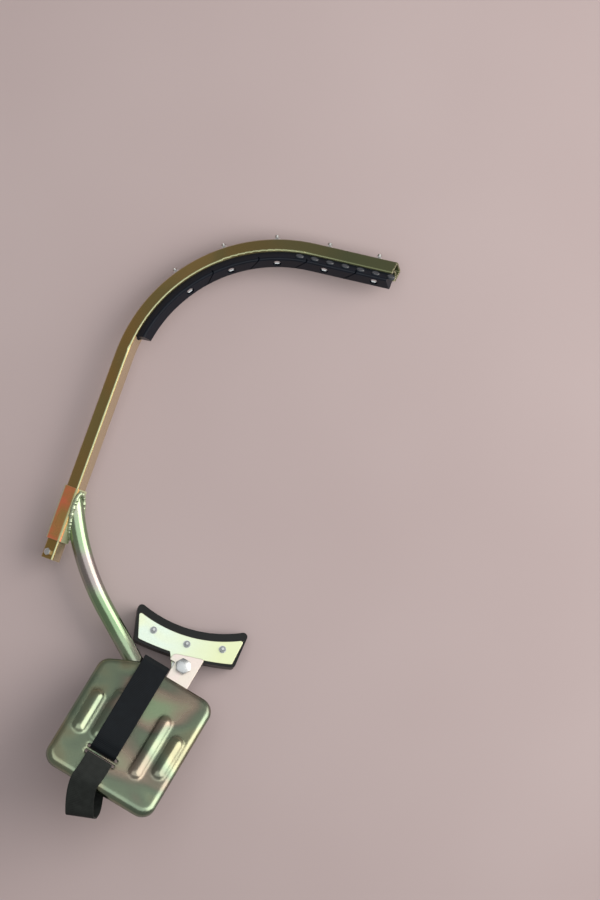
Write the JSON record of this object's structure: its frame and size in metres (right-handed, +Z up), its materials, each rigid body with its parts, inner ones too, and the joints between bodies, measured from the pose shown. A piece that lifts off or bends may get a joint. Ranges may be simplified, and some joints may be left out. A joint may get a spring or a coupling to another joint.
{
  "type": "pole climber",
  "caption": "Strap-on climber for round poles: sliding rubber-lined hook, bent tube to a foot plate with webbing straps, and a swivelling rubber bumper.",
  "frame": {"origin": "middle of the bounding box, on the level that the climber's lowest point rests on", "axes": "+Y along the hook's straight leg towards the bend, +Z up from the hook's plane, +X to the pole's side"},
  "size_m": [0.2908, 0.7528, 0.1272],
  "materials": {
    "zinc_hook": "olive-gold chromate zinc plating, satin",
    "zinc_sleeve": "orange-olive chromate zinc plating, satin",
    "zinc_tube": "pale green chromate zinc plating, satin",
    "zinc_plate": "grey-green chromate zinc plating with pink tints",
    "zinc_bright": "bright pale yellow chromate zinc plating",
    "white_zinc": "clear zinc plated fasteners",
    "weld": "plated weld bead",
    "bush_bronze": "plain turned bush",
    "rubber": "moulded black rubber",
    "webbing": "woven charcoal webbing"
  },
  "bodies": {
    "foot_frame": {"sleeve": "zinc_sleeve", "sleeve_weld": "weld", "foot_tube": "zinc_tube", "foot_plate": "zinc_plate", "plate_welds": "weld", "bumper_lug": "zinc_bright", "instep_strap": "webbing", "heel_strap": "webbing", "pivot_bolt": "white_zinc", "pivot_bush": "bush_bronze", "thrust_washer": "white_zinc", "pivot_washer": "white_zinc", "pivot_nut": "white_zinc"},
    "hook": {"hook_tube": "zinc_hook", "hook_lining": "rubber", "hook_screws": "white_zinc", "hook_washers": "white_zinc", "hook_nuts": "white_zinc", "stop_bolt": "white_zinc", "stop_nut": "white_zinc"},
    "bumper": {"bumper_plate": "zinc_bright", "bumper_rubber": "rubber", "bumper_screws": "white_zinc", "bumper_washers": "white_zinc", "bumper_nuts": "white_zinc"}
  },
  "joints": [
    {"name": "hook_slide", "type": "slide", "parent": "foot_frame", "child": "hook", "axis": [0, 1, 0], "range_m": [-0.165, 0.011]},
    {"name": "bumper_swivel", "type": "hinge", "parent": "foot_frame", "child": "bumper", "pos_m": [0.06204, -0.17103, 0.03335], "axis": [0.0397, 0.2041, 0.9781], "range_deg": [-41, 1]}
  ]
}
